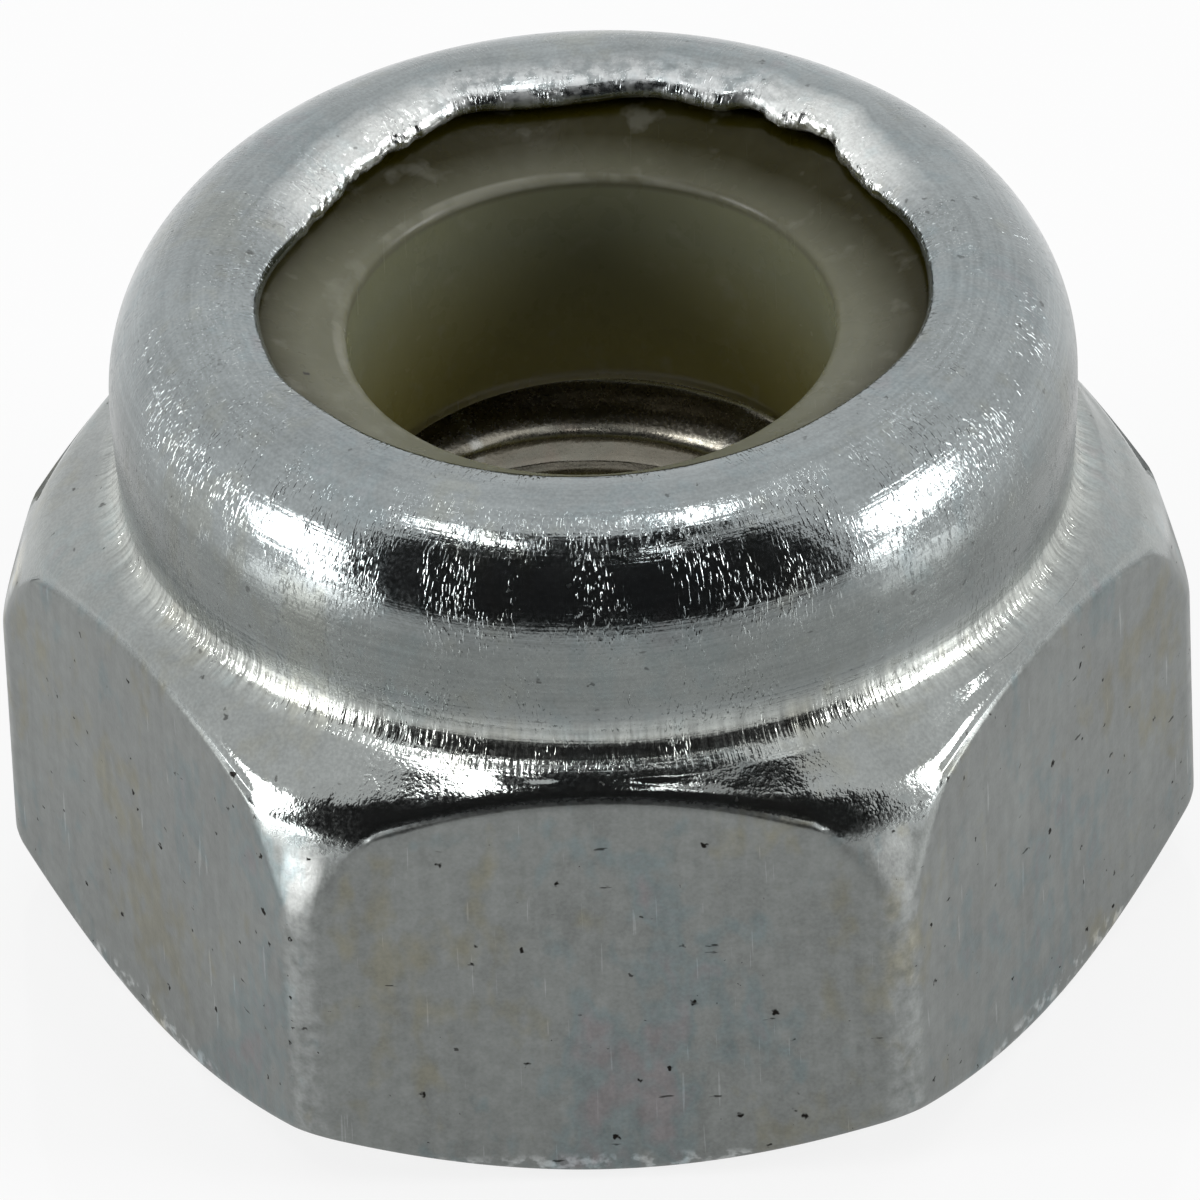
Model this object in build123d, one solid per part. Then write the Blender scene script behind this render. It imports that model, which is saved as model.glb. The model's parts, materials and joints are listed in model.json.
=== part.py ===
from build123d import *
import os
from math import cos, pi, radians, sin, sqrt, tan

# Nylon insert lock nut, 1/4-20, standing on its bearing face. All sizes are millimetres.
# The thread axis is +Z, the bearing face lies in Z = 0, and a flat faces -Y.

# Screw thread
thread_major = 6.35
thread_height = 0.59         # crest to root; the hole is left plain, at the crests
lead_in_bottom = 0.75        # depth of the 45 degree countersink in the bearing face
lead_in_top = 0.35           # depth of the 45 degree countersink below the ring

# Hexagon
hexagon_sides = 6
across_flats = 11.11
hex_height = 5.01            # bearing face to the circle where the land steepens
corner_round = 0.60          # radius on the upright edges
land_round = 0.45            # radius where the flats turn over into the land

# Turned bearing face
bearing_inset = 0.20         # how far the bearing face stops inside the flats
bottom_chamfer_angle = 37.0  # from the bearing face

# Formed top corners: the land falls gently outside the neck, then as a steeper cone, and a
# facet takes off each corner
land_width = 0.19            # the middle of a flat to the circle where the land steepens
inner_land_angle = 30.0      # fall of the land inside that circle, from the horizontal
outer_land_angle = 38.0      # fall of the cone outside it
corner_reach = 0.445         # how far the cone runs past the flats
corner_facet_angle = 73.0    # from the horizontal
corner_blend = 0.20          # radius between the cone and the facet

# Locking ring
ring_bore_length = 2.68
ring_grip = 0.59             # how far the ring's bore stands inside the screw's crests
ring_rim_round = 0.12        # radius at the top of the ring's bore
ring_edge_chamfer = 0.25     # on the ring's lower outer edge
ring_side_clearance = 0.02   # between the ring and the recess round it

# Collar that is rolled in over the ring
collar_step = 0.437          # how far the flats stand outside the collar's widest circle
seat_depth = 0.57            # the ring's seat, below the circle where the land steepens
seat_corner_chamfer = 0.15   # at the foot of the recess
collar_wall = 0.80           # at the widest circle
bulge_rise = 1.46            # the circle where the land steepens to the widest circle
skirt_radius = 9.0           # outside of the collar, in section, below the widest circle
bulge_radius = 1.465         # outside of the roll, in section, up to the crown
crown_start = 55.0           # where the roll tightens, round the section from the widest circle
crown_radius = 1.05          # outside of the roll, in section, from there to the lip
neck_round = 0.32            # hollow radius between the land and the skirt
lip_overhang = 0.87          # how far the lip reaches in over the ring
lip_thickness = 0.21         # at the lip's edge
inner_roll_radius = 1.05     # inside of the roll, in section
ring_shelf = 0.12            # how far the ring stays pressed to the roll outside the lip

# The hexagon's trimming bar stands clear of the land, so that only the cone shapes the land
trim_margin = 0.10

# Worked out from the sizes above
flat_radius = across_flats / 2
corner_radius = (flat_radius - corner_round) / cos(pi / hexagon_sides) + corner_round
bearing_radius = flat_radius - bearing_inset
corner_top_radius = flat_radius + corner_reach
tapping_radius = thread_major / 2 - thread_height
ring_bore_radius = thread_major / 2 - ring_grip
seat_height = hex_height - seat_depth
land_radius = flat_radius - land_width
collar_radius = flat_radius - collar_step


def height_on_circle(centre, radius, at_radius):
    """Height of the upper half of a section circle at a distance from the thread axis."""
    return centre[1] + sqrt(radius**2 - (at_radius - centre[0]) ** 2)


# Section circles of the collar: the skirt, the bulge and the crown outside, and the inside wall
skirt_centre = (collar_radius - skirt_radius, hex_height + bulge_rise)
bulge_centre = (collar_radius - bulge_radius, hex_height + bulge_rise)
ring_radius = collar_radius - collar_wall
lip_radius = ring_radius - lip_overhang
crown_shift = bulge_radius - crown_radius
crown_centre = (
    bulge_centre[0] + crown_shift * cos(radians(crown_start)),
    bulge_centre[1] + crown_shift * sin(radians(crown_start)),
)
lip_top = height_on_circle(crown_centre, crown_radius, lip_radius)
lip_underside = lip_top - lip_thickness
inner_centre_radius = ring_radius - inner_roll_radius
inner_centre_height = lip_underside - sqrt(
    inner_roll_radius**2 - (lip_radius - inner_centre_radius) ** 2
)
inner_centre = (inner_centre_radius, inner_centre_height)


def turned(section):
    """The solid of revolution of a section, drawn as radius and height, about the thread axis."""
    return revolve(Plane.XZ * section, Axis.Z)


def circle_arc(centre, radius, start, end):
    """An arc of a section circle from one point on it to another, by the short way."""
    middle = (Vector(*start) + Vector(*end)) / 2 - Vector(*centre)
    crown = Vector(*centre) + middle.normalized() * radius
    return ThreePointArc(start, (crown.X, crown.Y), end)


def neck_hollow():
    """Centre of the hollow that touches the inner land and the skirt, and both touching points."""
    slope = radians(inner_land_angle)
    inwards = Vector(-cos(slope), sin(slope))
    upwards = Vector(sin(slope), cos(slope))
    start = Vector(land_radius, hex_height) + upwards * neck_round
    away = start - Vector(*skirt_centre)
    reach = skirt_radius + neck_round
    along = away.dot(inwards)
    centre = start - inwards * (along + sqrt(along**2 - away.dot(away) + reach**2))
    toe = centre - upwards * neck_round
    waist = centre + (Vector(*skirt_centre) - centre).normalized() * neck_round
    return (centre.X, centre.Y), (toe.X, toe.Y), (waist.X, waist.Y)


def hexagon_trim():
    """What the hexagon leaves: a bar with rounded edges, and all of the collar above it."""
    hexagon = RegularPolygon(radius=flat_radius, side_count=hexagon_sides, major_radius=False)
    outline = fillet(hexagon.vertices(), corner_round)
    bar = extrude(outline, amount=hex_height + trim_margin)
    bar = fillet(bar.edges().group_by(Axis.Z)[-1], land_round)
    collar_zone = Cylinder(
        max(collar_radius, land_radius) + trim_margin,
        bulge_rise + bulge_radius + trim_margin,
        align=(Align.CENTER, Align.CENTER, Align.MIN),
    )
    return bar + Pos(Z=hex_height) * collar_zone


def round_form():
    """The outside as turned: bearing chamfer, corner facet, land, neck, skirt, bulge and lip."""
    clear_radius = corner_radius + corner_round
    chamfer_top = (clear_radius - bearing_radius) * tan(radians(bottom_chamfer_angle))
    corner_top = hex_height - (corner_top_radius - land_radius) * tan(radians(outer_land_angle))
    facet_drop = (clear_radius - corner_top_radius) * tan(radians(corner_facet_angle))
    brow = (corner_top_radius, corner_top)
    neck_centre, toe, waist = neck_hollow()
    widest = (collar_radius, bulge_centre[1])
    crown_foot = (
        bulge_centre[0] + bulge_radius * cos(radians(crown_start)),
        bulge_centre[1] + bulge_radius * sin(radians(crown_start)),
    )
    lip = (lip_radius, lip_top)
    outline = (
        Polyline(
            (0, lip_top),
            (0, 0),
            (bearing_radius, 0),
            (clear_radius, chamfer_top),
            (clear_radius, corner_top - facet_drop),
            brow,
            (land_radius, hex_height),
            toe,
        )
        + circle_arc(neck_centre, neck_round, toe, waist)
        + circle_arc(skirt_centre, skirt_radius, waist, widest)
        + circle_arc(bulge_centre, bulge_radius, widest, crown_foot)
        + circle_arc(crown_centre, crown_radius, crown_foot, lip)
        + Line(lip, (0, lip_top))
    )
    section = make_face(outline)
    brow_corner = section.vertices().sort_by_distance(brow)[0]
    return turned(fillet(brow_corner, corner_blend))


def ring_recess():
    """The space inside the collar: seat, straight wall and the underside of the roll."""
    floor_edge = (ring_radius - seat_corner_chamfer, seat_height)
    wall_foot = (ring_radius, seat_height + seat_corner_chamfer)
    wall_top = (ring_radius, inner_centre_height)
    under_lip = (lip_radius, lip_underside)
    above = lip_top + bulge_radius
    outline = (
        Polyline((0, seat_height), floor_edge, wall_foot, wall_top)
        + circle_arc(inner_centre, inner_roll_radius, wall_top, under_lip)
        + Polyline(under_lip, (lip_radius, above), (0, above), (0, seat_height))
    )
    return turned(make_face(outline))


def tapped_hole():
    """The hole at the radius of the thread's crests, countersunk at both ends."""
    section = Polygon(
        (0, 0),
        (tapping_radius + lead_in_bottom, 0),
        (tapping_radius, lead_in_bottom),
        (tapping_radius, seat_height - lead_in_top),
        (tapping_radius + lead_in_top, seat_height),
        (0, seat_height),
        align=None,
    )
    return turned(section)


def nut_body():
    """The steel nut: hexagon and rolled collar in one piece."""
    return (round_form() & hexagon_trim()) - ring_recess() - tapped_hole()


def locking_ring():
    """The nylon ring: it stands on its seat, its shoulder follows the roll over it, and its
    free face falls from under the lip to the rim of its bore."""
    outer = ring_radius - ring_side_clearance
    shoulder_radius = inner_roll_radius - ring_side_clearance
    shoulder_end = lip_radius + ring_shelf
    bore_foot = (ring_bore_radius, seat_height)
    edge_inside = (outer - ring_edge_chamfer, seat_height)
    edge_outside = (outer, seat_height + ring_edge_chamfer)
    wall_top = (outer, inner_centre_height)
    shelf = (shoulder_end, height_on_circle(inner_centre, shoulder_radius, shoulder_end))
    rim = (ring_bore_radius, seat_height + ring_bore_length)
    outline = (
        Polyline(bore_foot, edge_inside, edge_outside, wall_top)
        + circle_arc(inner_centre, shoulder_radius, wall_top, shelf)
        + Polyline(shelf, rim, bore_foot)
    )
    section = make_face(outline)
    rim_corner = section.vertices().sort_by_distance(rim)[0]
    return turned(fillet(rim_corner, ring_rim_round))


os.makedirs("parts", exist_ok=True)
export_step(nut_body(), "parts/nut_body.step")
export_step(locking_ring(), "parts/locking_ring.step")
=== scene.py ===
import json
import math

import bmesh
import bpy
import numpy as np
from mathutils import Matrix, Vector, noise


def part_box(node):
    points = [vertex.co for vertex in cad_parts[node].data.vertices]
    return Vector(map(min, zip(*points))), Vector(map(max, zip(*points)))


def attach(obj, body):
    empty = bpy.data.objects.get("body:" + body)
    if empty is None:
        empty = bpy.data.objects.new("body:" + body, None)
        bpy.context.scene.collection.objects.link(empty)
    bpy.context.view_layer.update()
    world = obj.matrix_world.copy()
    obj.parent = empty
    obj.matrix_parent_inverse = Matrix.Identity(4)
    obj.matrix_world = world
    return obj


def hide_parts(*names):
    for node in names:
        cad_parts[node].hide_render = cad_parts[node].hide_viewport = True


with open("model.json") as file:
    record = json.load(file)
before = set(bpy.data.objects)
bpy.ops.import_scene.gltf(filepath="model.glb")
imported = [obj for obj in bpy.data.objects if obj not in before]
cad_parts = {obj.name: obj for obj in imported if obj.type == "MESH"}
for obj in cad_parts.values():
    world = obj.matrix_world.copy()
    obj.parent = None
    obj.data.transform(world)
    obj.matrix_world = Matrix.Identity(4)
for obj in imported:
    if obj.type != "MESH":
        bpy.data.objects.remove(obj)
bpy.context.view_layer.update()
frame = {"record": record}

MM = 0.001
MOUNTS = {mount["name"]: mount for mount in frame["record"]["mounts"]}

# ---------------------------------------------------------------------------------------------
# Sizes. What the frame knows is read from it, and the rest are the nut's own, in metres
# ---------------------------------------------------------------------------------------------
body_low, body_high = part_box("nut_body")
ring_low, ring_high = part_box("locking_ring")

# Hexagon
FLAT_RADIUS = (body_high.y - body_low.y) / 2
CORNER_ROUND = 0.60 * MM
BEARING_RADIUS = FLAT_RADIUS - 0.20 * MM
BEARING_SPREAD = 0.15 * MM    # how much wider the bearing face is across than front to back
CHAMFER_ANGLE = math.radians(37)
LAND_RADIUS = FLAT_RADIUS - 0.19 * MM     # where the land steepens
LAND_HEIGHT = 5.011 * MM                  # its height there
INNER_LAND_ANGLE = math.radians(30)
OUTER_LAND_ANGLE = math.radians(38)
CORNER_TOP_RADIUS = FLAT_RADIUS + 0.445 * MM
FACET_ANGLE = math.radians(73)
LAND_LEAN = 0.24 * MM         # the land is this much higher on one side and lower on the other
LEAN_TOWARDS = math.radians(255)
FRONT = math.radians(270)     # the flat that faces -Y

# Collar
COLLAR_RADIUS = 5.118 * MM
BULGE_HEIGHT = 6.47 * MM
BULGE_RADIUS = 1.465 * MM     # of the roll, above its widest circle
SKIRT_RADIUS = 9.0 * MM       # of the roll, below its widest circle
NECK_ROUND = 0.32 * MM
CROWN_START = math.radians(55)
CROWN_RADIUS = 1.05 * MM
COLLAR_SHIFT = 0.075 * MM     # the turned parts stand this far along +X of the hexagon
LIP_OVERHANG = 0.87 * MM
LIP_ROUND = 0.20 * MM         # where the roll turns down to its lip
LIP_EDGE_ROUND = 0.05 * MM    # under the lip
INNER_ROLL_RADIUS = 1.05 * MM
SEAT_CHAMFER = 0.15 * MM      # at the foot of the recess

# Locking ring
RING_CLEARANCE = 0.02 * MM
RING_RIM_ROUND = 0.14 * MM
RING_SHELF = 0.12 * MM        # how far the ring stays pressed to the roll outside the lip
RING_EDGE_CHAMFER = 0.25 * MM
RING_WALL_HEIGHT = 1.9 * MM   # from the seat up to where the shoulder starts
RING_SHOULDER = 0.25 * MM     # the shoulder's bend, in from the wall and down from the top
SEAT_HEIGHT = ring_low.z
RIM_HEIGHT = SEAT_HEIGHT + 2.68 * MM
RING_RADIUS = (ring_high.x - ring_low.x) / 2
RING_BORE_RADIUS = MOUNTS["thread"]["dims"]["r_mm"] * MM

# Thread, right-hand
CREST_RADIUS = MOUNTS["thread"]["dims"]["r_mm"] * MM
ROOT_RADIUS = 3.175 * MM
PITCH = 1.27 * MM
CREST_FLAT = 0.22             # the crest and each flank as parts of half a pitch
FLANK = 0.62
LEAD_IN_BOTTOM = 0.75 * MM
LEAD_IN_TOP = 0.35 * MM

# The lip's opening: wider across the nut than front to back, set a little forward, and pushed
# in or out round these angles by the rolling tool (degrees, depth, spread in degrees)
LIP_FLATTENING = 0.08 * MM
LIP_SHIFT = 0.06 * MM
LIP_DENTS = (
    (155, 0.25 * MM, 23),
    (28, 0.11 * MM, 12),
    (46, -0.12 * MM, 7),
    (60, -0.15 * MM, 4),
    (78, -0.10 * MM, 10),
    (112, -0.08 * MM, 7),
    (207, -0.05 * MM, 8),
    (342, -0.09 * MM, 16),
)
TORN_STRETCHES = ((40, 18), (138, 22))    # where the edge is ragged: degrees, half spread
TORN_DEPTH = 0.035 * MM
UNEVEN_SHARE = 0.12           # of the torn depth, everywhere else round the lip
RIPPLES = (9, 23)             # coarse and fine, for the noise round the lip

# How far round each edge is softened, measured along the section
BEARING_EDGE_SOFT = 0.12 * MM
CHAMFER_EDGE_SOFT = 0.22 * MM
FOOT_SOFT = 0.30 * MM
BROW_SOFT = 0.40 * MM
CORNER_BROW_SOFT = 0.80 * MM  # the brow's, at the hexagon's corners
LAND_SOFT = 0.08 * MM

# Worked out: where the section's circles stand
RECESS_RADIUS = RING_RADIUS + RING_CLEARANCE
CORNER_CENTRE = (FLAT_RADIUS - CORNER_ROUND) / math.cos(math.radians(30))
ROUND_STARTS = math.hypot(FLAT_RADIUS, CORNER_CENTRE / 2)    # where a corner's round begins
ROUND_RISE = CORNER_CENTRE + CORNER_ROUND - ROUND_STARTS     # how far it goes beyond that
BULGE_CENTRE = (COLLAR_RADIUS - BULGE_RADIUS, BULGE_HEIGHT)
SKIRT_CENTRE = (COLLAR_RADIUS - SKIRT_RADIUS, BULGE_HEIGHT)
CROWN_CENTRE = (
    BULGE_CENTRE[0] + (BULGE_RADIUS - CROWN_RADIUS) * math.cos(CROWN_START),
    BULGE_CENTRE[1] + (BULGE_RADIUS - CROWN_RADIUS) * math.sin(CROWN_START),
)
LIP_RADIUS = RECESS_RADIUS - LIP_OVERHANG

# Rows and steps of the body's mesh
STEPS_ROUND = 456
CORNER_CROWDING = 0.6    # how much closer the steps stand at the hexagon's corners
THREAD_ROWS = 78
WALL_ROWS = 25           # from the bearing face to the foot of the brow
BROW_ROWS = 9
LAND_ROWS = 4
NECK_ROWS = 9            # round the hollow of the neck
SKIRT_ROWS = 14
BULGE_ROWS = 24
CROWN_ROWS = 16
LIP_ROWS = 10
EDGE_ROWS = 4
UNDER_LIP_ROWS = 12
UNDER_ROWS = 16          # under the lip, down the recess and over its seat
RING_STEPS_ROUND = 288
RING_ROWS = 60

# Over how many rows each finish of the body fades into its neighbours, each way
FINISH_SPREADS = {"bore": 2, "flats": 1, "brow": 1, "neck": 2, "skirt": 5, "lip": 2}


# ---------------------------------------------------------------------------------------------
# The nut's section, which changes from angle to angle: arrays of (radius, height)
# ---------------------------------------------------------------------------------------------
def arc(centre, radius, start, end, count):
    """Points on a circle of the section, from one angle to the other, in degrees."""
    angles = np.radians(np.linspace(start, end, count))
    return np.stack(
        [centre[0] + radius * np.cos(angles), centre[1] + radius * np.sin(angles)], axis=1
    )


def wall_radius(angle):
    """Distance from the axis to the hexagon's wall, with its upright edges rounded."""
    from_flat = abs((angle + math.pi / 2 + math.pi / 6) % (math.pi / 3) - math.pi / 6)
    flat = FLAT_RADIUS / math.cos(from_flat)
    from_corner = math.pi / 6 - from_flat
    if flat * math.sin(from_flat) < CORNER_CENTRE * math.sin(math.pi / 6):
        return flat
    across = CORNER_CENTRE * math.sin(from_corner)
    return CORNER_CENTRE * math.cos(from_corner) + math.sqrt(CORNER_ROUND**2 - across**2)


def softened(corners, widths, stations):
    """Points along a path, each the mean of the path over a short stretch round it, so that
    corners come out rounded. A stretch is as long as the width at its nearest corners."""
    steps = np.linalg.norm(np.diff(corners, axis=0), axis=1)
    along = np.concatenate([[0], np.cumsum(steps)])
    areas = steps[:, None] * (corners[1:] + corners[:-1]) / 2
    total = np.concatenate([np.zeros((1, 2)), np.cumsum(areas, axis=0)])

    def summed(at):
        index = np.clip(np.searchsorted(along, at, side="right") - 1, 0, len(steps) - 1)
        part = at - along[index]
        share = np.where(steps[index] > 0, part / np.maximum(steps[index], 1e-12), 0)
        point = corners[index] + share[:, None] * (corners[index + 1] - corners[index])
        return total[index] + part[:, None] * (corners[index] + point) / 2

    half = np.interp(stations, along, widths) / 2
    half = np.maximum(np.minimum(half, np.minimum(stations, along[-1] - stations)), 1e-9)
    return (summed(stations + half) - summed(stations - half)) / (2 * half)[:, None]


def land_height(angle):
    """Height of the circle where the land steepens: the land leans."""
    return LAND_HEIGHT + LAND_LEAN * math.cos(angle - LEAN_TOWARDS)


def neck_centre(angle):
    """The centre of the hollow between the land and the collar's skirt. It touches both, so it
    stands higher and further out on one side of the nut than on the other."""
    radius = LAND_RADIUS
    for _ in range(12):
        rise = (LAND_RADIUS - radius) * math.tan(INNER_LAND_ANGLE)
        height = land_height(angle) + rise + NECK_ROUND / math.cos(INNER_LAND_ANGLE)
        drop = BULGE_HEIGHT - height
        radius = SKIRT_CENTRE[0] + math.sqrt((SKIRT_RADIUS + NECK_ROUND) ** 2 - drop**2)
    return radius, height


def waist_angle(centre):
    """The angle of the section at which the skirt runs into the hollow, in degrees."""
    return math.degrees(math.atan2(centre[1] - SKIRT_CENTRE[1], centre[0] - SKIRT_CENTRE[0]))


def outside_section(angle):
    """From the countersink in the bearing face out and up to the waist of the neck."""
    wall = wall_radius(angle)
    bearing_radius = BEARING_RADIUS + BEARING_SPREAD * math.cos(angle) ** 2
    top = min(wall, CORNER_TOP_RADIUS)
    centre = neck_centre(angle)
    brow_height = land_height(angle) - (top - LAND_RADIUS) * math.tan(OUTER_LAND_ANGLE)
    facet_drop = (wall - top) * math.tan(FACET_ANGLE)
    foot = 270 - math.degrees(INNER_LAND_ANGLE)
    neck = arc(centre, NECK_ROUND, foot, waist_angle(centre) + 180, 10)
    corners = np.array(
        [
            (CREST_RADIUS + LEAD_IN_BOTTOM, 0),
            (bearing_radius, 0),
            (wall, (wall - bearing_radius) * math.tan(CHAMFER_ANGLE)),
            (wall, brow_height - facet_drop),
            (top, brow_height),
            (LAND_RADIUS, land_height(angle)),
            *neck,
        ]
    )
    towards_corner = min((wall - FLAT_RADIUS) / (CORNER_TOP_RADIUS - FLAT_RADIUS), 1)
    brow_soft = BROW_SOFT + (CORNER_BROW_SOFT - BROW_SOFT) * towards_corner**2
    widths = [0, BEARING_EDGE_SOFT, CHAMFER_EDGE_SOFT, FOOT_SOFT, brow_soft, LAND_SOFT]
    widths += [0] * len(neck)
    steps = np.linalg.norm(np.diff(corners, axis=0), axis=1)
    along = np.concatenate([[0], np.cumsum(steps)])
    bearing, chamfer, foot, brow, land, toe = along[1:7]
    stations = np.sort(
        np.concatenate(
            [
                np.linspace(0, bearing, 5)[:-1],
                bearing + BEARING_EDGE_SOFT * np.linspace(-0.5, 0.5, 3),
                chamfer + CHAMFER_EDGE_SOFT * np.linspace(-0.6, 0.6, 6),
                np.linspace(chamfer, foot, 9)[1:-1],
                foot + FOOT_SOFT * np.linspace(-0.55, 0.55, 6),
                brow + brow_soft * np.linspace(-0.6, 0.6, 9),
                land + LAND_SOFT * np.linspace(-0.5, 0.5, 3),
                [(land + toe) / 2],
                np.linspace(toe, along[-1], 10)[:-1],
            ]
        )
    )
    return softened(corners, widths, stations)


def torn_share(angle):
    """How far the lip is torn at an angle, from 0 to 1."""
    share = 0
    for degrees, spread in TORN_STRETCHES:
        away = (math.degrees(angle) - degrees + 180) % 360 - 180
        share += math.exp(-((away / spread) ** 4))
    return share


def lip_radius(angle):
    """Distance from the axis to the lip's edge."""
    radius = LIP_RADIUS + LIP_FLATTENING * math.cos(2 * angle) - LIP_SHIFT * math.sin(angle)
    for degrees, depth, spread in LIP_DENTS:
        away = (math.degrees(angle) - degrees + 180) % 360 - 180
        radius -= depth * math.exp(-((away / spread) ** 2))
    for size in RIPPLES:
        spot = Vector((math.cos(angle), math.sin(angle), 0.3)) * size
        radius += (UNEVEN_SHARE + torn_share(angle)) * TORN_DEPTH * noise.noise(spot)
    return radius


def lip_section(angle):
    """From the waist over the bulge to the lip, round its edge and under it to the recess."""
    waist = waist_angle(neck_centre(angle))
    lip = lip_radius(angle)
    reach = CROWN_RADIUS - LIP_ROUND
    turn = math.acos((lip + LIP_ROUND - CROWN_CENTRE[0]) / reach)
    turn_centre = (lip + LIP_ROUND, CROWN_CENTRE[1] + reach * math.sin(turn))
    crown_start = math.degrees(CROWN_START)
    over = np.concatenate(
        [
            arc(SKIRT_CENTRE, SKIRT_RADIUS, waist, 0, SKIRT_ROWS),
            arc(BULGE_CENTRE, BULGE_RADIUS, 0, crown_start, BULGE_ROWS + 1)[1:],
            arc(CROWN_CENTRE, CROWN_RADIUS, crown_start, math.degrees(turn), CROWN_ROWS + 1)[1:],
            arc(turn_centre, LIP_ROUND, math.degrees(turn), 172, LIP_ROWS + 1)[1:],
        ]
    )
    edge_centre = (over[-1][0] + LIP_EDGE_ROUND, over[-1][1] - LIP_EDGE_ROUND / 2)
    edge = arc(edge_centre, LIP_EDGE_ROUND, 190, 262, EDGE_ROWS)
    inner_radius = RECESS_RADIUS - INNER_ROLL_RADIUS
    share = min((edge[-1][0] - inner_radius) / INNER_ROLL_RADIUS, 1)
    inner_height = edge[-1][1] - INNER_ROLL_RADIUS * math.sqrt(1 - share**2)
    under = arc(
        (inner_radius, inner_height),
        INNER_ROLL_RADIUS, math.degrees(math.acos(share)), 0, UNDER_LIP_ROWS,
    )
    return np.concatenate([over, edge, under[1:]])


def recess_section():
    """From the roll's underside down the recess to its seat, and in to the tapped hole."""
    return np.array(
        [
            (RECESS_RADIUS, SEAT_HEIGHT + SEAT_CHAMFER),
            (RECESS_RADIUS - SEAT_CHAMFER, SEAT_HEIGHT),
            (CREST_RADIUS + LEAD_IN_TOP + 0.2 * MM, SEAT_HEIGHT),
        ]
    )


def thread_section(angle):
    """Down the tapped hole, from the seat to the bearing face."""
    heights = np.linspace(SEAT_HEIGHT, 0, THREAD_ROWS)
    turn = (heights / PITCH - angle / (2 * math.pi)) % 1
    from_crest = np.abs(turn - 0.5) * 2
    depth = np.clip((from_crest - CREST_FLAT) / FLANK, 0, 1)
    depth = depth * depth * (3 - 2 * depth)
    radius = CREST_RADIUS + (ROOT_RADIUS - CREST_RADIUS) * depth
    radius = np.maximum(radius, CREST_RADIUS + LEAD_IN_BOTTOM - heights)
    radius = np.maximum(radius, CREST_RADIUS + LEAD_IN_TOP - (SEAT_HEIGHT - heights))
    return np.stack([radius, heights], axis=1)


def body_section(angle):
    """The whole section of the nut's body, once round, back to where it starts."""
    return np.concatenate(
        [
            thread_section(angle),
            outside_section(angle)[1:],
            lip_section(angle)[1:],
            recess_section(),
        ]
    )


# ---------------------------------------------------------------------------------------------
# Meshes
# ---------------------------------------------------------------------------------------------
def turned_mesh(section, steps):
    """A closed section, as (radius, height) points, spun once round the thread axis. Each vertex
    keeps the number of its point in a layer named row."""
    bm = bmesh.new()
    row = bm.verts.layers.int.new("row")
    loop = []
    for number, (radius, height) in enumerate(section):
        vert = bm.verts.new((radius, 0, height))
        vert[row] = number
        loop.append(vert)
    edges = [bm.edges.new((loop[i - 1], loop[i])) for i in range(len(loop))]
    bmesh.ops.spin(
        bm,
        geom=loop + edges,
        cent=(0, 0, 0),
        axis=(0, 0, 1),
        dvec=(0, 0, 0),
        angle=2 * math.pi,
        steps=steps,
        use_merge=True,
        use_duplicate=False,
    )
    bmesh.ops.remove_doubles(bm, verts=bm.verts[:], dist=1e-9)
    return bm


def finished(bm, name):
    """An object at the origin from a bmesh, smooth, with its faces outwards."""
    bmesh.ops.recalc_face_normals(bm, faces=bm.faces[:])
    mesh = bpy.data.meshes.new(name)
    bm.to_mesh(mesh)
    bm.free()
    mesh.shade_smooth()
    piece = bpy.data.objects.new(name, mesh)
    bpy.context.scene.collection.objects.link(piece)
    return piece


def row_finishes():
    """For each row of the body's section, how far it belongs to each finish, from 0 to 1, and
    how far along the section it lies, in millimetres. The skirt's finish ends a little way up
    the bulge, and the lip's starts a little before the lip."""
    rows = (
        ("bore", THREAD_ROWS),
        ("flats", WALL_ROWS + 2),
        ("brow", BROW_ROWS + LAND_ROWS - 2),
        ("neck", NECK_ROWS),
        ("skirt", SKIRT_ROWS + 6),
        ("roll", BULGE_ROWS + CROWN_ROWS - 11),
        ("lip", LIP_ROWS + 6),
        ("bore", UNDER_ROWS),
    )
    names = np.repeat([name for name, _ in rows], [count for _, count in rows])
    finishes = {}
    for name, spread in FINISH_SPREADS.items():
        belongs = np.pad((names == name).astype(float), spread, mode="edge")
        window = 2 * spread + 1
        finishes[name] = np.convolve(belongs, np.ones(window) / window, "valid")
    steps = np.linalg.norm(np.diff(body_section(FRONT), axis=0), axis=1)
    finishes["along"] = np.concatenate([[0], np.cumsum(steps)]) / MM
    return finishes


def make_body():
    bm = turned_mesh(body_section(0.0), STEPS_ROUND)
    row = bm.verts.layers.int["row"]
    finishes = row_finishes()
    names = (*finishes, "torn", "edge")
    layers = {name: bm.verts.layers.float.new(name) for name in names}
    first_wall = THREAD_ROWS
    last_wall = first_wall + WALL_ROWS + BROW_ROWS
    sections = {}
    for vert in bm.verts:
        step = round(math.atan2(vert.co.y, vert.co.x) / (2 * math.pi) * STEPS_ROUND) % STEPS_ROUND
        if step not in sections:
            even = 2 * math.pi * step / STEPS_ROUND
            angle = even - CORNER_CROWDING * math.sin(6 * even) / 6
            sections[step] = (angle, body_section(angle))
        angle, section = sections[step]
        radius, height = section[vert[row]]
        shift = 0 if first_wall < vert[row] < last_wall else COLLAR_SHIFT
        vert.co = (shift + radius * math.cos(angle), radius * math.sin(angle), height)
        for name, values in finishes.items():
            vert[layers[name]] = values[vert[row]]
        vert[layers["torn"]] = finishes["lip"][vert[row]] * torn_share(angle)
        vert[layers["edge"]] = max((wall_radius(angle) - ROUND_STARTS) / ROUND_RISE, 0)
    return finished(bm, "steel_body")


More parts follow.
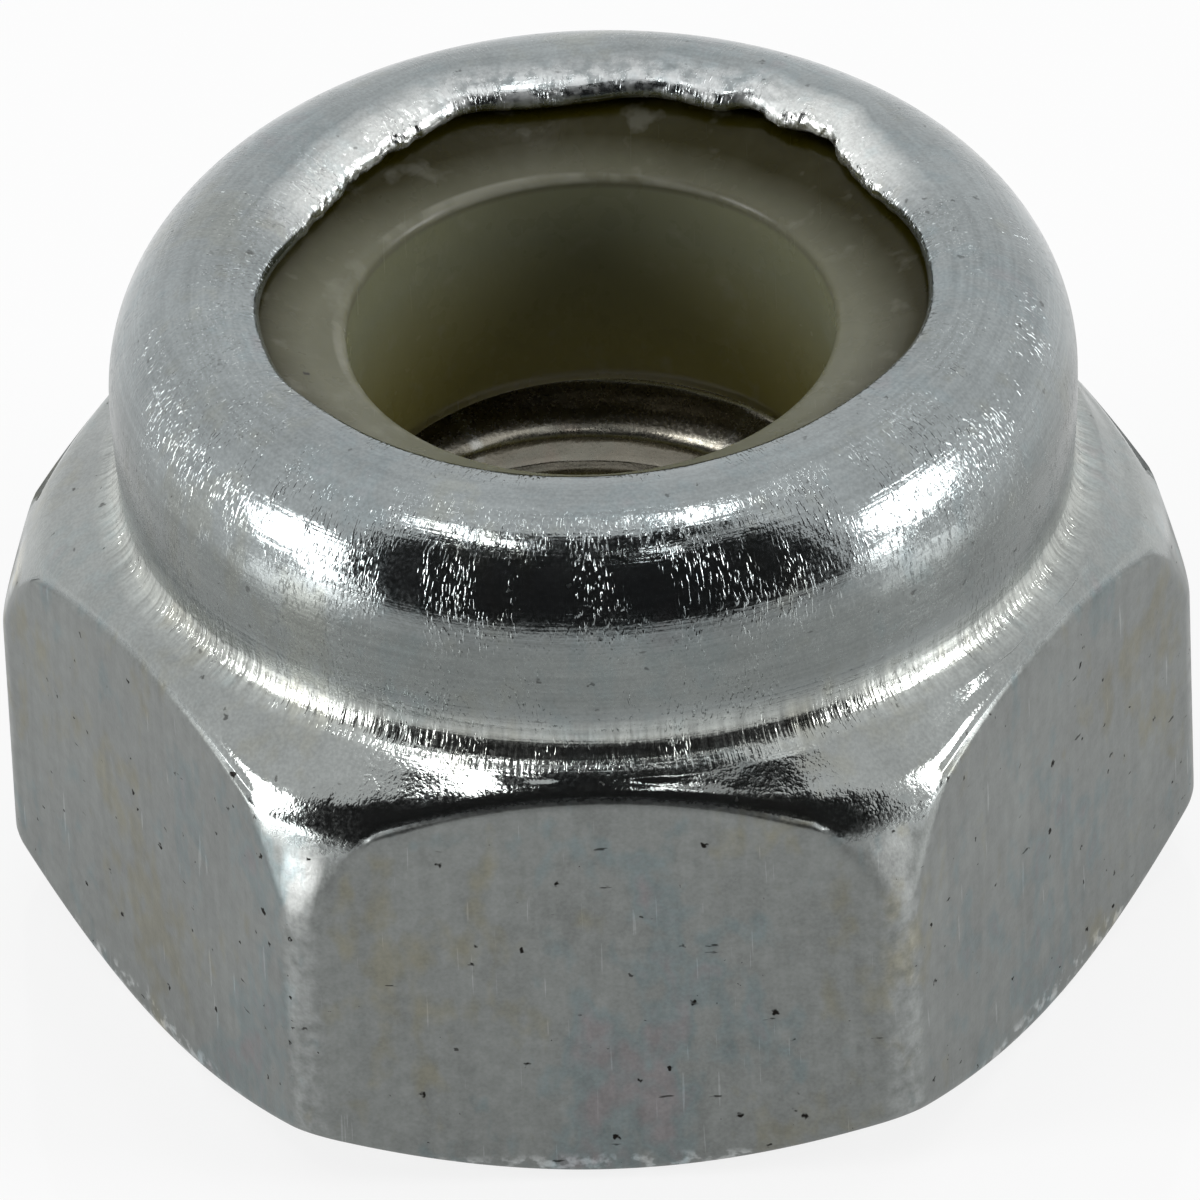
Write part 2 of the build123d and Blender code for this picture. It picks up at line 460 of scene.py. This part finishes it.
def make_ring():
    section = np.array(
        [
            (RING_BORE_RADIUS, SEAT_HEIGHT),
            (RING_RADIUS - RING_EDGE_CHAMFER, SEAT_HEIGHT),
            (RING_RADIUS, SEAT_HEIGHT + RING_EDGE_CHAMFER),
            (RING_RADIUS, SEAT_HEIGHT + RING_WALL_HEIGHT),
            (RING_RADIUS - RING_SHOULDER, ring_high.z - RING_SHOULDER),
            (LIP_RADIUS + RING_SHELF, ring_high.z),
            (RING_BORE_RADIUS, RIM_HEIGHT),
        ]
    )
    corners = np.concatenate([section, section[:1]])
    steps = np.linalg.norm(np.diff(corners, axis=0), axis=1)
    along = np.concatenate([[0], np.cumsum(steps)])
    rim = along[6]
    stations = np.sort(
        np.concatenate(
            [
                np.linspace(0, along[-1], RING_ROWS)[1:-1],
                rim + RING_RIM_ROUND * np.linspace(-1, 1, 9),
            ]
        )
    )
    widths = np.array([0.05, 0.1, 0.1, 0.4, 0.4, 0.3, 0.2, 0.05]) * MM
    smooth = softened(corners, widths, stations)
    bm = turned_mesh(np.concatenate([section[:1], smooth]), RING_STEPS_ROUND)
    bmesh.ops.translate(bm, verts=bm.verts[:], vec=(COLLAR_SHIFT, 0, 0))
    return finished(bm, "nylon_ring")


# ---------------------------------------------------------------------------------------------
# Finishes. Patterns lie in millimetres
# ---------------------------------------------------------------------------------------------
ROLL_TONE = (0.345, 0.375, 0.378, 1)
SKIRT_TONE = (0.215, 0.232, 0.226, 1)
NECK_TONE = (0.50, 0.52, 0.49, 1)
BROW_TONE = (0.36, 0.38, 0.37, 1)
FLAT_TONE = (0.235, 0.248, 0.24, 1)
# Real wear on the flats, also used for painted sheen on the back of the lip
WEAR_AND_SHEEN_TONE = (0.62, 0.64, 0.64, 1)
THREAD_TONE = (0.42, 0.395, 0.33, 1)
# Bare steel at the torn stretches of the lip, also used for painted highlights on the corners
BARE_AND_GLINT_TONE = (0.80, 0.82, 0.80, 1)
PIT_TONE = (0.02, 0.018, 0.016, 1)
NYLON_TONE = (0.150, 0.150, 0.105, 1)
# Painted shade under the lip, also used for the ring's random darker patches
NYLON_PATCH_AND_SHADE_TONE = (0.020, 0.017, 0.0, 1)
# Painted light in the ring's bore: paler than its top face, and yellower at its foot
NYLON_LIT_BORE_TONE = (0.19, 0.195, 0.125, 1)
NYLON_LIT_FOOT_TONE = (0.22, 0.195, 0.06, 1)
# The ring's random pale bloom, also used for a painted highlight along its rim
NYLON_BLOOM_AND_GLINT_TONE = (0.34, 0.34, 0.29, 1)
STAINS = (                       # yellowish, bare, bluish and pinkish
    (0.36, (1.0, 0.94, 0.80, 1)),
    (0.44, (1, 1, 1, 1)),
    (0.53, (1, 1, 1, 1)),
    (0.59, (0.86, 0.96, 1.0, 1)),
    (0.67, (1.0, 0.91, 0.95, 1)),
)
SPREAD = (0.3, 0.7)              # the range in which most of a noise lies

# Where wear, tone, painted highlights and painted shade come and go: distances from the axis, and
# heights from the bearing face
CORNER_WEAR_RADII = (6.27, 6.315)
FOOT_WEAR_HEIGHTS = (0.40, 0.30)
LIP_SHEEN_BACKWARDS = (0.5, 2.8)  # from the axis towards +Y: painted sheen over the lip's wear at the back
# Painted highlights on the hexagon's corners
CORNER_GLINT_TAPER = 0.9              # how fast the painted corner highlights narrow downwards
CORNER_GLINT_REACH = (3.95, 4.60)
CORNER_GLINT_TOP = (4.45, 4.20)
CORNER_GLINT_SIDES = (-2.0, 2.5)      # along X, where it goes from its full share to its least
# Painted light in the ring's bore: heights where it starts and where it turns yellower
RING_WALL_TOP = (7.03, 6.97)
RING_FOOT = (6.4, 4.8)
# Painted highlight along the ring's rim: heights where it starts
RIM_GLINT_HEIGHTS = (7.04, 7.07)
# Painted shade under the lip on the ring's top face, from the axis towards +Y
LIP_SHADE_BACKWARDS = (-0.5, 2.4)


def put(tree, kind, inputs=None, **settings):
    """A node, with its settings, and each input set to a value or fed by a socket."""
    node = tree.nodes.new(kind)
    for name, value in settings.items():
        setattr(node, name, value)
    for name, value in (inputs or {}).items():
        if isinstance(value, bpy.types.NodeSocket):
            tree.links.new(value, node.inputs[name])
        else:
            node.inputs[name].default_value = value
    return node


def maths(tree, operation, *values):
    return put(tree, "ShaderNodeMath", dict(enumerate(values)), operation=operation).outputs[0]


def vector_maths(tree, operation, inputs):
    """A node that works on vectors. Some of its outputs are values."""
    return put(tree, "ShaderNodeVectorMath", inputs, operation=operation)


def total(tree, *values):
    """The sum of some values."""
    result = values[0]
    for value in values[1:]:
        result = maths(tree, "ADD", result, value)
    return result


def between(tree, value, low, high, to_low=0.0, to_high=1.0):
    """A value that runs from one figure to another while the given one runs from low to high."""
    ends = {"Value": value, "From Min": low, "From Max": high, "To Min": to_low, "To Max": to_high}
    return put(tree, "ShaderNodeMapRange", ends).outputs["Result"]


def blend(tree, share, first, second, mode="MIX"):
    """Two colours mixed by a share. The node's sockets 6 and 7 are its colours."""
    inputs = {0: share, 6: first, 7: second}
    return put(tree, "ShaderNodeMix", inputs, data_type="RGBA", blend_type=mode).outputs[2]


def stretched(tree, vector, scale, turn=(0, 0, 0)):
    """A pattern's position, turned and scaled."""
    inputs = {"Vector": vector, "Scale": scale, "Rotation": turn}
    return put(tree, "ShaderNodeMapping", inputs).outputs["Vector"]


def cloud(tree, vector, scale, detail=2.0):
    inputs = {"Vector": vector, "Scale": scale, "Detail": detail}
    return put(tree, "ShaderNodeTexNoise", inputs).outputs["Fac"]


def new_group(name, inputs, output):
    """A node group with a position, some named values and one output."""
    tree = bpy.data.node_groups.new(name, "ShaderNodeTree")
    tree.interface.new_socket("Position", in_out="INPUT", socket_type="NodeSocketVector")
    for socket in inputs:
        tree.interface.new_socket(socket, in_out="INPUT", socket_type="NodeSocketFloat")
    tree.interface.new_socket(output, in_out="OUTPUT", socket_type="NodeSocketFloat")
    return tree, tree.nodes.new("NodeGroupInput").outputs, tree.nodes.new("NodeGroupOutput").inputs


def specks_group():
    """Scattered specks: Count to the millimetre, Share of them kept, Size as a part of a cell."""
    tree, given, result = new_group("specks", ("Count", "Share", "Size"), "Mask")
    wobble = put(
        tree, "ShaderNodeTexNoise", {"Vector": given["Position"], "Scale": 22.0, "Detail": 0.0}
    ).outputs["Color"]
    away = vector_maths(tree, "SUBTRACT", {0: wobble, 1: (0.5, 0.5, 0.5)}).outputs[0]
    away = vector_maths(tree, "SCALE", {0: away, "Scale": 0.07}).outputs[0]
    place = vector_maths(tree, "ADD", {0: given["Position"], 1: away}).outputs[0]
    cells = put(tree, "ShaderNodeTexVoronoi", {"Vector": place, "Scale": given["Count"]}).outputs
    chance = put(tree, "ShaderNodeSeparateColor", {0: cells["Color"]}).outputs
    kept = maths(tree, "LESS_THAN", chance[0], given["Share"])
    edge = maths(tree, "MULTIPLY", given["Size"], total(tree, chance[1], 0.4))
    inside = between(tree, maths(tree, "DIVIDE", cells["Distance"], edge), 1.0, 0.6)
    tree.links.new(maths(tree, "MULTIPLY", inside, kept), result["Mask"])
    return tree


def clouding_group():
    """Uneven tone: broad clouds with finer ones in them."""
    tree, given, result = new_group("clouding", ("Count",), "Value")
    broad = cloud(tree, given["Position"], given["Count"], 3.0)
    finer = maths(tree, "MULTIPLY", given["Count"], 6.0)
    fine = cloud(tree, given["Position"], finer, 2.0)
    value = maths(tree, "MULTIPLY_ADD", broad, 0.65, maths(tree, "MULTIPLY", fine, 0.35))
    tree.links.new(value, result["Value"])
    return tree


def hairlines_group():
    """Fine scratches that lie three ways. Share is how much of the surface they take."""
    tree, given, result = new_group("hairlines", ("Share",), "Mask")
    mask = None
    for turn in ((0.3, 0.9, 0.2), (1.2, -0.5, 2.1), (-0.8, 0.4, 1.1)):
        vector = stretched(tree, given["Position"], (22.0, 0.9, 0.9), turn)
        line = cloud(tree, vector, 1.0, 1.0)
        least = maths(tree, "SUBTRACT", 0.8, given["Share"])
        line = between(tree, line, least, maths(tree, "ADD", least, 0.02))
        mask = line if mask is None else maths(tree, "MAXIMUM", mask, line)
    tree.links.new(mask, result["Mask"])
    return tree


SPECKS = specks_group()
CLOUDING = clouding_group()
HAIRLINES = hairlines_group()


def use(tree, group, **values):
    """A shared group's one output, with its inputs given."""
    return put(tree, "ShaderNodeGroup", values, node_tree=group).outputs[0]


def finish(name):
    """A new material, its node tree, its shader, and the position in millimetres."""
    material = bpy.data.materials.new(name)
    material.use_nodes = True
    tree = material.node_tree
    where = tree.nodes.new("ShaderNodeTexCoord").outputs["Object"]
    place = vector_maths(tree, "SCALE", {0: where, "Scale": 1 / MM}).outputs[0]
    return material, tree, tree.nodes["Principled BSDF"], place


def layer(tree, name):
    """A value that the mesh keeps at each vertex."""
    return put(tree, "ShaderNodeAttribute", None, attribute_name=name).outputs["Fac"]


def sides_of(tree, place):
    """A position's X, Y and Z, the same place at height 0, and its distance from the axis."""
    sides = put(tree, "ShaderNodeSeparateXYZ", {0: place}).outputs
    level = stretched(tree, place, (1, 1, 0))
    return sides, level, vector_maths(tree, "LENGTH", {0: level}).outputs["Value"]


def relief(tree, shader, height):
    """Bump from a height in millimetres."""
    bump = put(tree, "ShaderNodeBump", {"Height": height, "Distance": MM})
    tree.links.new(bump.outputs["Normal"], shader.inputs["Normal"])


def zinc_plate():
    """Bright zinc on cold-formed steel: mottled flats, a burnished roll, a grooved neck."""
    material, tree, shader, place = finish("zinc_plate")
    flats, brow, neck = layer(tree, "flats"), layer(tree, "brow"), layer(tree, "neck")
    skirt, lip, torn = layer(tree, "skirt"), layer(tree, "lip"), layer(tree, "torn")
    bore, along, edge = layer(tree, "bore"), layer(tree, "along"), layer(tree, "edge")
    roll = maths(tree, "SUBTRACT", 1.0, total(tree, flats, brow, bore))
    sides, level, radius = sides_of(tree, place)
    around = vector_maths(tree, "NORMALIZE", {0: level}).outputs[0]
    lift = put(tree, "ShaderNodeCombineXYZ", {"Z": along}).outputs[0]

    def laid(round_count, along_count):
        """Position for streaks: counts of turns round the axis and along the section."""
        wide = stretched(tree, around, (round_count, round_count, 0))
        long = stretched(tree, lift, (0, 0, along_count))
        return vector_maths(tree, "ADD", {0: wide, 1: long}).outputs[0]

    def times(first, second):
        return maths(tree, "MULTIPLY", first, second)

    grooves = cloud(tree, laid(80.0, 1.6), 1.0, 2.0)
    rings = cloud(tree, laid(2.6, 17.0), 1.0, 2.0)
    drawn = cloud(tree, stretched(tree, place, (7.0, 7.0, 0.7)), 1.0, 3.0)
    clouds = use(tree, CLOUDING, Position=place, Count=0.8)
    stain = use(tree, CLOUDING, Position=stretched(tree, place, (1, 1, 0.6)), Count=0.62)
    mottle = cloud(tree, place, 6.0, 3.0)
    grain = cloud(tree, place, 26.0, 1.0)
    clusters = cloud(tree, laid(9.0, 0.7), 1.0, 1.0)
    sparks = between(tree, cloud(tree, laid(170.0, 9.0), 1.0, 1.0), 0.54, 0.72)
    sparks = times(sparks, between(tree, clusters, 0.36, 0.60))
    pits = use(tree, SPECKS, Position=place, Count=3.6, Share=0.5, Size=0.12)
    flattened = stretched(tree, place, (0.6, 0.6, 2.4))
    dashes = use(tree, SPECKS, Position=flattened, Count=3.0, Share=0.20, Size=0.10)
    dust = use(tree, SPECKS, Position=place, Count=7.0, Share=0.06, Size=0.16)
    lines = use(tree, HAIRLINES, Position=place, Share=0.045)
    blotches = between(tree, mottle, 0.35, 0.6)
    # Lighter blotches over the back of the lip: real wear with painted sheen in their pale tone;
    # the added roughness is real
    lip_wear_and_sheen = times(times(lip, between(tree, sides["Y"], *LIP_SHEEN_BACKWARDS)), blotches)
    corners = between(tree, radius, *CORNER_WEAR_RADII)
    foot = between(tree, sides["Z"], *FOOT_WEAR_HEIGHTS)
    foot = times(foot, between(tree, mottle, 0.50, 0.62))
    worn = maths(tree, "MAXIMUM", times(times(corners, blotches), 0.16), times(foot, 0.6))
    worn = times(flats, maths(tree, "MAXIMUM", worn, times(lines, 0.20)))
    # Painted highlights down the hexagon's corners: pale strips under the brow that taper
    # downwards, strongest towards -X
    glint_reach = maths(tree, "MULTIPLY_ADD", sides["Z"], CORNER_GLINT_TAPER, edge)
    corner_glint = between(tree, glint_reach, *CORNER_GLINT_REACH)
    corner_glint = times(corner_glint, between(tree, sides["Z"], *CORNER_GLINT_TOP))
    corner_glint = times(corner_glint, between(tree, mottle, 0.30, 0.50, 0.6, 1.0))
    corner_glint = times(corner_glint, between(tree, sides["X"], *CORNER_GLINT_SIDES, 0.80, 0.30))

    tone = blend(tree, flats, ROLL_TONE, FLAT_TONE)
    for share, colour in (
        (skirt, SKIRT_TONE),
        (brow, BROW_TONE),
        (neck, NECK_TONE),
        (bore, THREAD_TONE),
        (maths(tree, "MAXIMUM", lip_wear_and_sheen, worn), WEAR_AND_SHEEN_TONE),
        (maths(tree, "MAXIMUM", torn, corner_glint), BARE_AND_GLINT_TONE),
    ):
        tone = blend(tree, share, tone, colour)
    stains = put(tree, "ShaderNodeValToRGB", {"Fac": stain})
    ramp = stains.color_ramp
    ramp.elements.remove(ramp.elements[1])
    for number, (position, colour) in enumerate(STAINS):
        element = ramp.elements[0] if number == 0 else ramp.elements.new(position)
        element.position = position
        element.color = colour
    stained = between(tree, flats, 0.0, 1.0, 0.35, 1.0)
    tone = blend(tree, stained, tone, stains.outputs["Color"], "MULTIPLY")
    shade = total(
        tree,
        between(tree, clouds, *SPREAD, 0.84, 1.10),
        times(flats, between(tree, drawn, *SPREAD, -0.06, 0.06)),
        times(flats, between(tree, mottle, *SPREAD, -0.07, 0.07)),
        times(neck, between(tree, grooves, *SPREAD, -0.30, 0.30)),
        times(roll, between(tree, rings, *SPREAD, -0.07, 0.07)),
        between(tree, grain, *SPREAD, -0.08, 0.08),
    )
    greys = put(tree, "ShaderNodeCombineColor", {0: shade, 1: shade, 2: shade}).outputs[0]
    tone = blend(tree, 1.0, tone, greys, "MULTIPLY")
    marks = maths(tree, "MAXIMUM", pits, times(maths(tree, "MAXIMUM", dust, dashes), 0.75))
    marks = times(marks, total(tree, flats, times(brow, 0.7), times(roll, 0.5)))
    tone = blend(tree, marks, tone, PIT_TONE)
    tree.links.new(tone, shader.inputs["Base Color"])
    shader.inputs["Metallic"].default_value = 1

    roughness = total(
        tree,
        between(tree, grain, 0.35, 0.65, 0.06, 0.13),
        times(flats, between(tree, clouds, *SPREAD, 0.22, 0.36)),
        times(neck, 0.07),
        times(skirt, 0.13),
        times(roll, between(tree, clouds, 0.35, 0.65, 0.0, 0.05)),
        times(lip_wear_and_sheen, 0.30),
        times(bore, 0.15),
        times(marks, 0.35),
    )
    tree.links.new(roughness, shader.inputs["Roughness"])

    height = total(
        tree,
        times(grain, 0.0016),
        times(cloud(tree, place, 3.2, 1.0), 0.007),
        times(sparks, times(roll, 0.0055)),
        times(grooves, times(neck, 0.014)),
        times(rings, times(roll, 0.0035)),
        times(torn, times(cloud(tree, place, 9.0, 1.0), 0.032)),
    )
    relief(tree, shader, height)
    return material


def natural_nylon():
    """Undyed nylon, a little cloudy. Painted light makes its bore paler, painted shade under the
    lip darkens its top face towards the collar, and a painted highlight runs along its rim.
    """
    material, tree, shader, place = finish("natural_nylon")
    clouds = use(tree, CLOUDING, Position=place, Count=0.7)
    dust = use(tree, SPECKS, Position=place, Count=2.4, Share=0.05, Size=0.10)
    bloom = cloud(tree, place, 2.6, 3.0)
    lines = use(tree, HAIRLINES, Position=place, Share=0.04)
    sides, _, radius = sides_of(tree, place)
    rim = RING_BORE_RADIUS / MM
    # Painted light in the bore: the bore wall is paler than the top face, turning yellower towards
    # its foot
    wall = between(tree, sides["Z"], *RING_WALL_TOP)
    # Painted shade under the lip: the top face darkens outwards from the rim, and more towards +Y
    behind = between(tree, sides["Y"], *LIP_SHADE_BACKWARDS, 0.0, 0.48)
    lip_shade = between(tree, total(tree, radius, behind), rim + 0.38, rim + 1.0, 0.0, 0.95)
    patchy = between(tree, clouds, 0.35, 0.65, 0.0, 0.12)
    tone = blend(tree, total(tree, lip_shade, patchy), NYLON_TONE, NYLON_PATCH_AND_SHADE_TONE)
    low = between(tree, sides["Z"], *RING_FOOT)
    tone = blend(tree, wall, tone, blend(tree, low, NYLON_LIT_BORE_TONE, NYLON_LIT_FOOT_TONE))
    tone = blend(tree, between(tree, bloom, 0.60, 0.72, 0.0, 0.16), tone, NYLON_BLOOM_AND_GLINT_TONE)
    # Painted highlight: a pale patchy line at the top of the bore's rim
    rim_glint = maths(
        tree, "MULTIPLY",
        between(tree, radius, rim + 0.08, rim + 0.05),
        between(tree, sides["Z"], *RIM_GLINT_HEIGHTS),
    )
    rim_glint = maths(tree, "MULTIPLY", rim_glint, between(tree, clouds, 0.42, 0.60, 0.0, 0.40))
    tone = blend(tree, rim_glint, tone, NYLON_BLOOM_AND_GLINT_TONE)
    tone = blend(tree, dust, tone, PIT_TONE)
    tree.links.new(tone, shader.inputs["Base Color"])
    shader.inputs["Subsurface Weight"].default_value = 0.35
    shader.inputs["Subsurface Radius"].default_value = (1.0, 0.9, 0.5)
    shader.inputs["Subsurface Scale"].default_value = 0.4 * MM
    shader.inputs["IOR"].default_value = 1.53
    shader.inputs["Specular IOR Level"].default_value = 0.15
    roughness = total(
        tree,
        between(tree, clouds, *SPREAD, 0.20, 0.34),
        maths(tree, "MULTIPLY", lines, 0.12),
    )
    tree.links.new(roughness, shader.inputs["Roughness"])
    height = total(
        tree,
        maths(tree, "MULTIPLY", bloom, 0.010),
        maths(tree, "MULTIPLY", cloud(tree, place, 24.0, 1.0), 0.0008),
    )
    relief(tree, shader, height)
    return material


body = make_body()
body.data.materials.append(zinc_plate())
ring = make_ring()
ring.data.materials.append(natural_nylon())

for piece, node, slot in (
    (body, "nut_body", "zinc_steel"),
    (ring, "locking_ring", "nylon"),
):
    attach(piece, "root")
    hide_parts(node)


# ---------------------------------------------------------------------------------------------
# Floor, card, lamps, world and camera
# ---------------------------------------------------------------------------------------------
FLOOR_GLOW = (0.985, 0.985, 0.985, 1)
SHOWN_SHARE = 0.85       # how much of the glow the camera sees, and how much gloss mirrors
MIRRORED_SHARE = 0.35


def staged(name, mesh_bm, material):
    mesh = bpy.data.meshes.new(name)
    mesh_bm.to_mesh(mesh)
    mesh_bm.free()
    thing = bpy.data.objects.new(name, mesh)
    bpy.context.scene.collection.objects.link(thing)
    thing.data.materials.append(material)
    return thing


def card_stock(name, grey, roughness):
    """A plain grey, for the floor and the card."""
    material = bpy.data.materials.new(name)
    material.use_nodes = True
    shader = material.node_tree.nodes["Principled BSDF"]
    shader.inputs["Base Color"].default_value = (grey, grey, grey, 1)
    shader.inputs["Roughness"].default_value = roughness
    return material


def pale_floor():
    """A pale floor that takes a soft shadow, and shows nearly white to the camera and in gloss."""
    material = card_stock("pale_floor", 0.92, 0.07)
    tree = material.node_tree
    tree.nodes["Principled BSDF"].inputs["IOR"].default_value = 1.8
    rays = tree.nodes.new("ShaderNodeLightPath").outputs
    mirrored = maths(tree, "ADD", rays["Is Glossy Ray"], rays["Is Transmission Ray"])
    share = maths(
        tree, "MAXIMUM",
        maths(tree, "MULTIPLY", rays["Is Camera Ray"], SHOWN_SHARE),
        maths(tree, "MULTIPLY", mirrored, MIRRORED_SHARE),
    )
    glow = put(tree, "ShaderNodeEmission", {"Color": FLOOR_GLOW, "Strength": 1.0})
    shader = tree.nodes["Principled BSDF"].outputs[0]
    mix = put(tree, "ShaderNodeMixShader", {0: share, 1: shader, 2: glow.outputs[0]})
    tree.links.new(mix.outputs[0], tree.nodes["Material Output"].inputs["Surface"])
    return material


floor_bm = bmesh.new()
bmesh.ops.create_grid(floor_bm, x_segments=1, y_segments=1, size=1.5)
staged("floor", floor_bm, pale_floor())

# A black card curved over the front of the nut, from the table to well up overhead
CARD_DISTANCE = 0.45
CARD_SPREAD = math.radians(118)
CARD_TURN = math.radians(-2)
CARD_ELEVATIONS = np.radians(np.linspace(0.2, 78, 20))
card_bm = bmesh.new()
spine = [
    card_bm.verts.new((0, -CARD_DISTANCE * math.cos(t), CARD_DISTANCE * math.sin(t)))
    for t in CARD_ELEVATIONS
]
spine_edges = [card_bm.edges.new(pair) for pair in zip(spine, spine[1:])]
bmesh.ops.rotate(
    card_bm,
    verts=spine,
    cent=(0, 0, 0),
    matrix=Matrix.Rotation(CARD_TURN - CARD_SPREAD / 2, 3, "Z"),
)
bmesh.ops.spin(
    card_bm,
    geom=spine + spine_edges,
    cent=(0, 0, 0),
    axis=(0, 0, 1),
    dvec=(0, 0, 0),
    angle=CARD_SPREAD,
    steps=32,
    use_merge=False,
    use_duplicate=False,
)
card = staged("front_card", card_bm, card_stock("black_card", 0.008, 0.9))
card.visible_camera = False
card.visible_shadow = False


def lamp(name, azimuth, elevation, distance, width, height, power):
    """A soft lamp that faces the nut. Azimuth is from the camera's side, to the right."""
    light = bpy.data.lights.new(name, "AREA")
    light.shape = "ELLIPSE"
    light.size = width
    light.size_y = height
    light.energy = power
    a, e = math.radians(azimuth), math.radians(elevation)
    towards = Vector((math.sin(a) * math.cos(e), -math.cos(a) * math.cos(e), math.sin(e)))
    thing = bpy.data.objects.new(name, light)
    bpy.context.scene.collection.objects.link(thing)
    thing.location = towards * distance
    thing.rotation_euler = towards.to_track_quat("Z", "Y").to_euler()


for settings in (
    # name, azimuth, elevation, distance, width, height, watts
    ("lamp_left", -73, 20, 0.40, 0.148, 0.155, 0.55),
    ("lamp_right", 79, 22, 0.40, 0.163, 0.170, 0.62),
    ("low_left", -62, 6.5, 0.40, 0.100, 0.075, 0.16),
    ("low_right", 67, 5.5, 0.40, 0.060, 0.050, 0.05),
    ("strip_left", -54, 67, 0.40, 0.150, 0.040, 0.12),
    ("strip_right", 110, 80, 0.40, 0.130, 0.035, 0.09),
    ("window", 20, 60, 0.40, 0.050, 0.025, 0.012),
    ("dim_right", 46, 63, 0.42, 0.170, 0.045, 0.011),
):
    lamp(*settings)

world = bpy.data.worlds.new("studio")
world.use_nodes = True
bpy.context.scene.world = world
sky = world.node_tree.nodes["Background"]
sky.inputs["Color"].default_value = (0.95, 0.955, 0.96, 1)
sky.inputs["Strength"].default_value = 0.9

CAMERA_TARGET = Vector((0, 0, 3.33 * MM))
CAMERA_DISTANCE = 222.2 * MM
CAMERA_ELEVATION = math.radians(37.7)
CAMERA_AZIMUTH = math.radians(1.12)
CAMERA_ROLL = math.radians(2.5)
PICTURE_WIDTH = 1200
FOCAL_PIXELS = 20861
TARGET_RIGHT = -3.8     # where the target lies from the middle of the picture, in its pixels
TARGET_DOWN = 8.3
SENSOR_WIDTH = 36

camera_data = bpy.data.cameras.new("camera")
camera_data.sensor_width = SENSOR_WIDTH
camera_data.lens = FOCAL_PIXELS / PICTURE_WIDTH * SENSOR_WIDTH
camera_data.shift_x = -TARGET_RIGHT / PICTURE_WIDTH
camera_data.shift_y = TARGET_DOWN / PICTURE_WIDTH
camera_data.clip_start = 0.01
camera_data.clip_end = 10
camera = bpy.data.objects.new("camera", camera_data)
bpy.context.scene.collection.objects.link(camera)
back = Vector(
    (
        math.sin(CAMERA_AZIMUTH) * math.cos(CAMERA_ELEVATION),
        -math.cos(CAMERA_AZIMUTH) * math.cos(CAMERA_ELEVATION),
        math.sin(CAMERA_ELEVATION),
    )
)
camera.location = CAMERA_TARGET + back * CAMERA_DISTANCE
turn = back.to_track_quat("Z", "Y").to_matrix().to_4x4() @ Matrix.Rotation(-CAMERA_ROLL, 4, "Z")
camera.rotation_euler = turn.to_euler()
bpy.context.scene.camera = camera

view = bpy.context.scene.view_settings
view.view_transform = "Standard"
